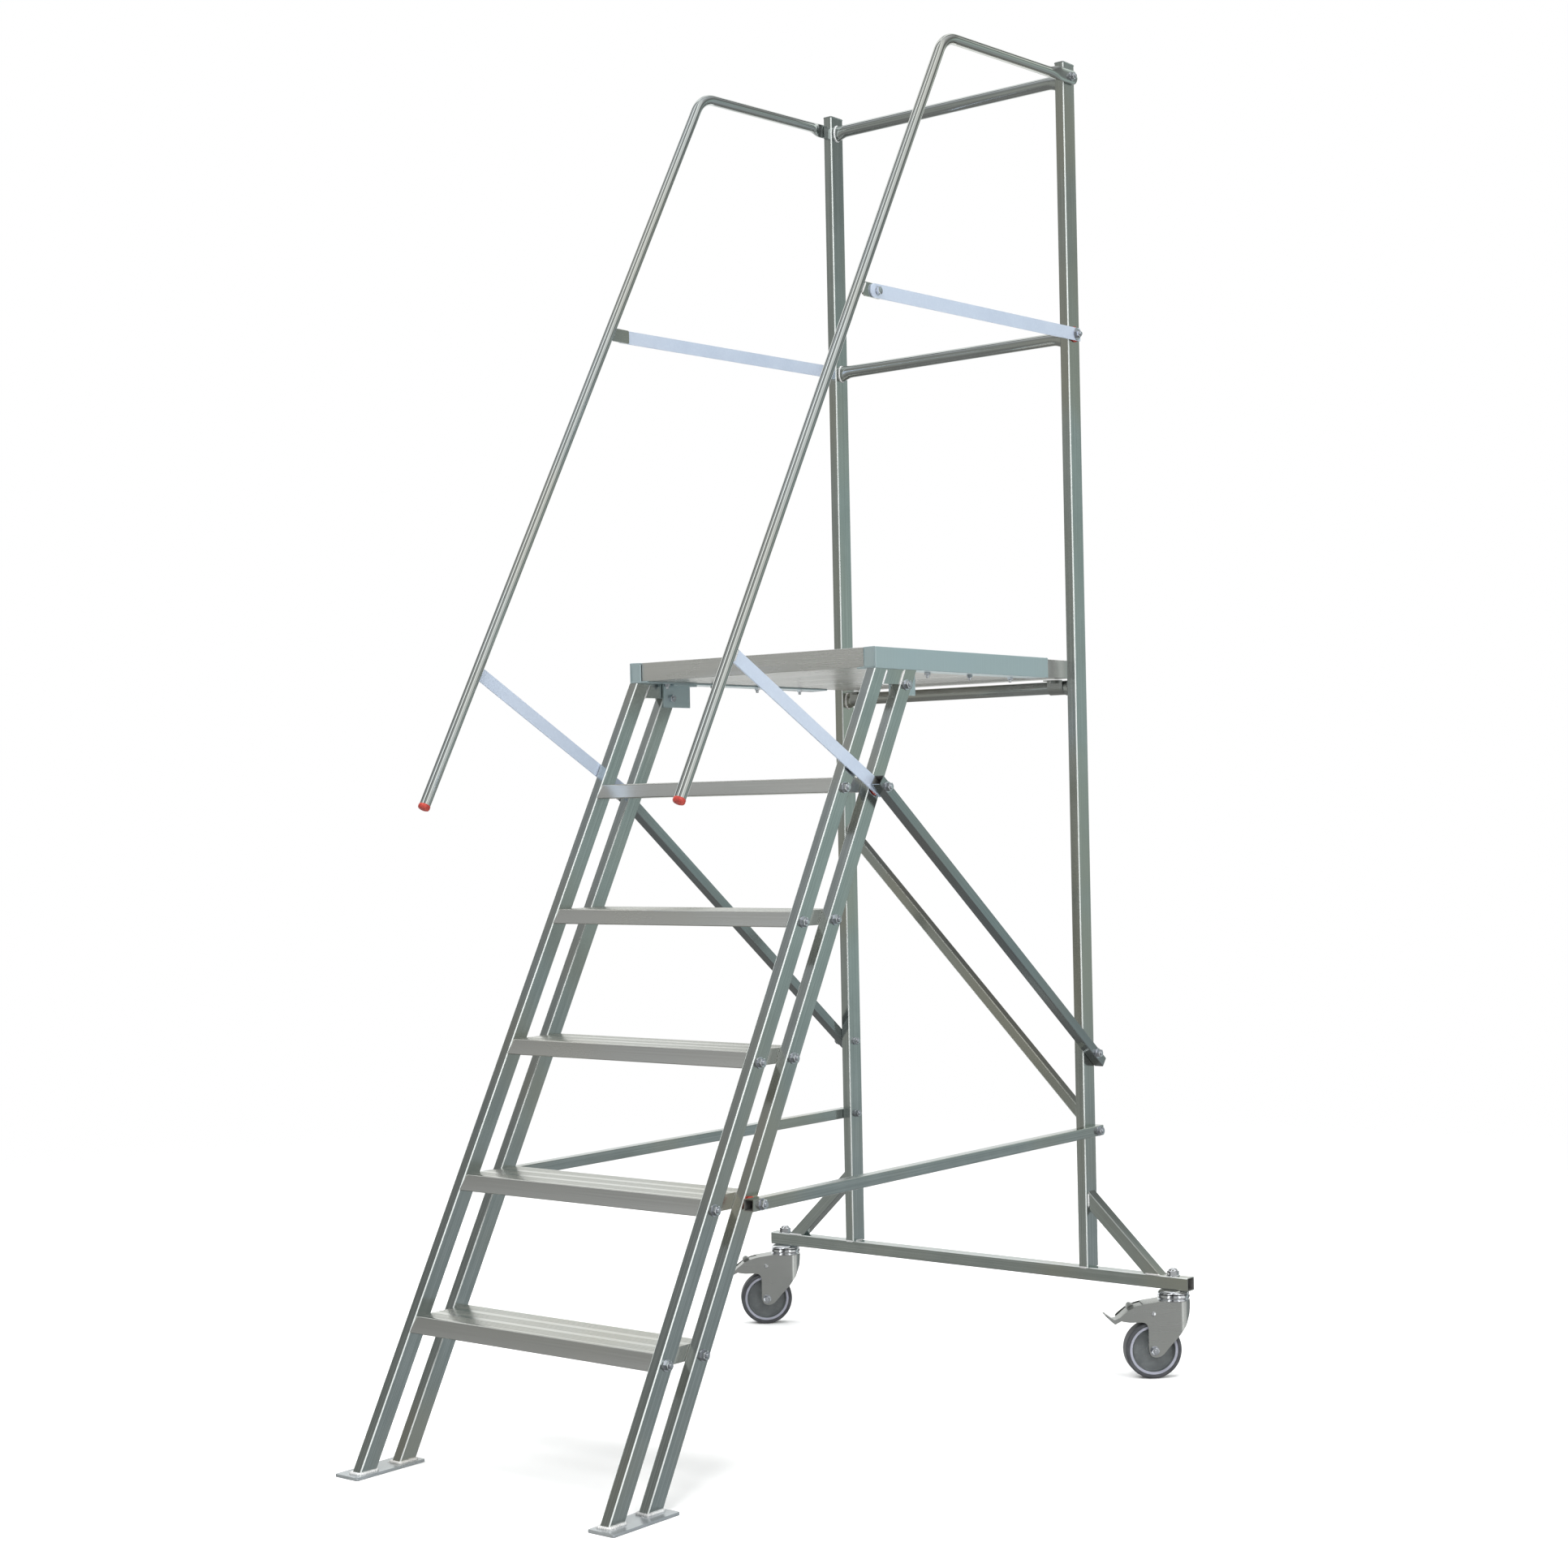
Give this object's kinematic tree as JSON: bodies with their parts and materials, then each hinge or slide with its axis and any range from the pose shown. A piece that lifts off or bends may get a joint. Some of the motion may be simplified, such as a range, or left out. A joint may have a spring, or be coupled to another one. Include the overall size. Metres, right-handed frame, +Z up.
{
  "type": "rolling warehouse ladder",
  "caption": "Rolling platform ladder with ribbed aluminium treads between twin sloping stiles, a rear mast frame, bent handrails, side braces and braked swivel casters.",
  "frame": {"origin": "on the floor, midway between the stiles, below the front edge of the front stiles at floor level", "axes": "+Y is the way the climber faces, from the feet to the rear frame; +X is the climber's right; +Z is up"},
  "size_m": [1.0933, 1.4354, 2.543],
  "materials": {
    "foot_plate_left": "bright zinc plated steel tube",
    "foot_plate_right": "bright zinc plated steel tube",
    "stile_front_left": "bright zinc plated steel tube",
    "stile_front_right": "bright zinc plated steel tube",
    "stile_rear_left": "bright zinc plated steel tube",
    "stile_rear_right": "bright zinc plated steel tube",
    "stile_spacers": "bright zinc plated steel tube",
    "tread_1": "mill finish extrusion",
    "tread_2": "mill finish extrusion",
    "tread_3": "mill finish extrusion",
    "tread_4": "mill finish extrusion",
    "tread_5": "mill finish extrusion",
    "tread_bolts": "bright zinc plated fastener",
    "deck_plank_1": "mill finish extrusion",
    "deck_plank_2": "mill finish extrusion",
    "deck_plank_3": "mill finish extrusion",
    "deck_plank_4": "mill finish extrusion",
    "deck_plank_5": "mill finish extrusion",
    "deck_channel_left": "satin extrusion",
    "deck_channel_right": "satin extrusion",
    "deck_brackets": "bright zinc plated steel tube",
    "deck_bolts": "bright zinc plated fastener",
    "deck_rail": "bright zinc plated steel tube",
    "deck_clips": "bright zinc plated steel tube",
    "mast_left": "bright zinc plated steel tube",
    "mast_right": "bright zinc plated steel tube",
    "mast_caps": "bright zinc plated steel tube",
    "base_beam": "bright zinc plated steel tube",
    "gusset_left": "bright zinc plated steel tube",
    "gusset_right": "bright zinc plated steel tube",
    "rear_diagonal": "bright zinc plated steel tube",
    "rear_top_rail": "bright zinc plated steel tube",
    "rear_mid_rail": "bright zinc plated steel tube",
    "handrail_left": "bright zinc plated steel tube",
    "handrail_right": "bright zinc plated steel tube",
    "handrail_plugs": "moulded plastic",
    "handrail_tabs": "bright zinc plated steel tube",
    "stay_upper_left": "zinc plated flat bar",
    "stay_upper_right": "zinc plated flat bar",
    "stay_lower_left": "zinc plated flat bar",
    "stay_lower_right": "zinc plated flat bar",
    "side_brace_left": "bright zinc plated steel tube",
    "side_brace_right": "bright zinc plated steel tube",
    "lower_brace_left": "bright zinc plated steel tube",
    "lower_brace_right": "bright zinc plated steel tube",
    "brace_bolts": "bright zinc plated fastener",
    "brace_nuts": "bright zinc plated fastener",
    "spacer_washers": "moulded plastic",
    "caster_stem_left": "bright plated",
    "caster_stem_right": "bright plated",
    "fork_left": "zinc plated pressed steel",
    "fork_right": "zinc plated pressed steel",
    "axle_left": "bright zinc plated fastener",
    "axle_right": "bright zinc plated fastener",
    "hub_left": "moulded plastic",
    "hub_right": "moulded plastic",
    "tyre_left": "soft grey rubber",
    "tyre_right": "soft grey rubber",
    "pedal_left": "zinc plated pressed steel",
    "pedal_right": "zinc plated pressed steel"
  },
  "bodies": {
    "frame": {"foot_plate_left": "foot_plate_left", "foot_plate_right": "foot_plate_right", "stile_front_left": "stile_front_left", "stile_front_right": "stile_front_right", "stile_rear_left": "stile_rear_left", "stile_rear_right": "stile_rear_right", "stile_spacers": "stile_spacers", "tread_1": "tread_1", "tread_2": "tread_2", "tread_3": "tread_3", "tread_4": "tread_4", "tread_5": "tread_5", "tread_bolts": "tread_bolts", "deck_plank_1": "deck_plank_1", "deck_plank_2": "deck_plank_2", "deck_plank_3": "deck_plank_3", "deck_plank_4": "deck_plank_4", "deck_plank_5": "deck_plank_5", "deck_channel_left": "deck_channel_left", "deck_channel_right": "deck_channel_right", "deck_brackets": "deck_brackets", "deck_bolts": "deck_bolts", "deck_rail": "deck_rail", "deck_clips": "deck_clips", "mast_left": "mast_left", "mast_right": "mast_right", "mast_caps": "mast_caps", "base_beam": "base_beam", "gusset_left": "gusset_left", "gusset_right": "gusset_right", "rear_diagonal": "rear_diagonal", "rear_top_rail": "rear_top_rail", "rear_mid_rail": "rear_mid_rail", "handrail_left": "handrail_left", "handrail_right": "handrail_right", "handrail_plugs": "handrail_plugs", "handrail_tabs": "handrail_tabs", "stay_upper_left": "stay_upper_left", "stay_upper_right": "stay_upper_right", "stay_lower_left": "stay_lower_left", "stay_lower_right": "stay_lower_right", "side_brace_left": "side_brace_left", "side_brace_right": "side_brace_right", "lower_brace_left": "lower_brace_left", "lower_brace_right": "lower_brace_right", "brace_bolts": "brace_bolts", "brace_nuts": "brace_nuts", "spacer_washers": "spacer_washers", "caster_stem_left": "caster_stem_left", "caster_stem_right": "caster_stem_right"},
    "swivel_left": {"fork_left": "fork_left", "axle_left": "axle_left"},
    "wheel_left": {"hub_left": "hub_left", "tyre_left": "tyre_left"},
    "brake_left": {"pedal_left": "pedal_left"},
    "swivel_right": {"fork_right": "fork_right", "axle_right": "axle_right"},
    "wheel_right": {"hub_right": "hub_right", "tyre_right": "tyre_right"},
    "brake_right": {"pedal_right": "pedal_right"}
  },
  "joints": [
    {"name": "swivel_left", "type": "hinge", "parent": "frame", "child": "swivel_left", "pos_m": [-0.473, 1.392, 0.15], "axis": [0, 0, 1], "continuous": true},
    {"name": "wheel_left", "type": "hinge", "parent": "swivel_left", "child": "wheel_left", "pos_m": [-0.50455, 1.36278, 0.054], "axis": [0.6794, -0.7337, 0], "continuous": true},
    {"name": "brake_left", "type": "hinge", "parent": "swivel_left", "child": "brake_left", "pos_m": [-0.50528, 1.3621, 0.124], "axis": [0.6794, -0.7337, 0], "range_deg": [0, 8]},
    {"name": "swivel_right", "type": "hinge", "parent": "frame", "child": "swivel_right", "pos_m": [0.473, 1.392, 0.15], "axis": [0, 0, 1], "continuous": true},
    {"name": "wheel_right", "type": "hinge", "parent": "swivel_right", "child": "wheel_right", "pos_m": [0.44145, 1.36278, 0.054], "axis": [0.6794, -0.7337, 0], "continuous": true},
    {"name": "brake_right", "type": "hinge", "parent": "swivel_right", "child": "brake_right", "pos_m": [0.44072, 1.3621, 0.124], "axis": [0.6794, -0.7337, 0], "range_deg": [0, 8]}
  ]
}
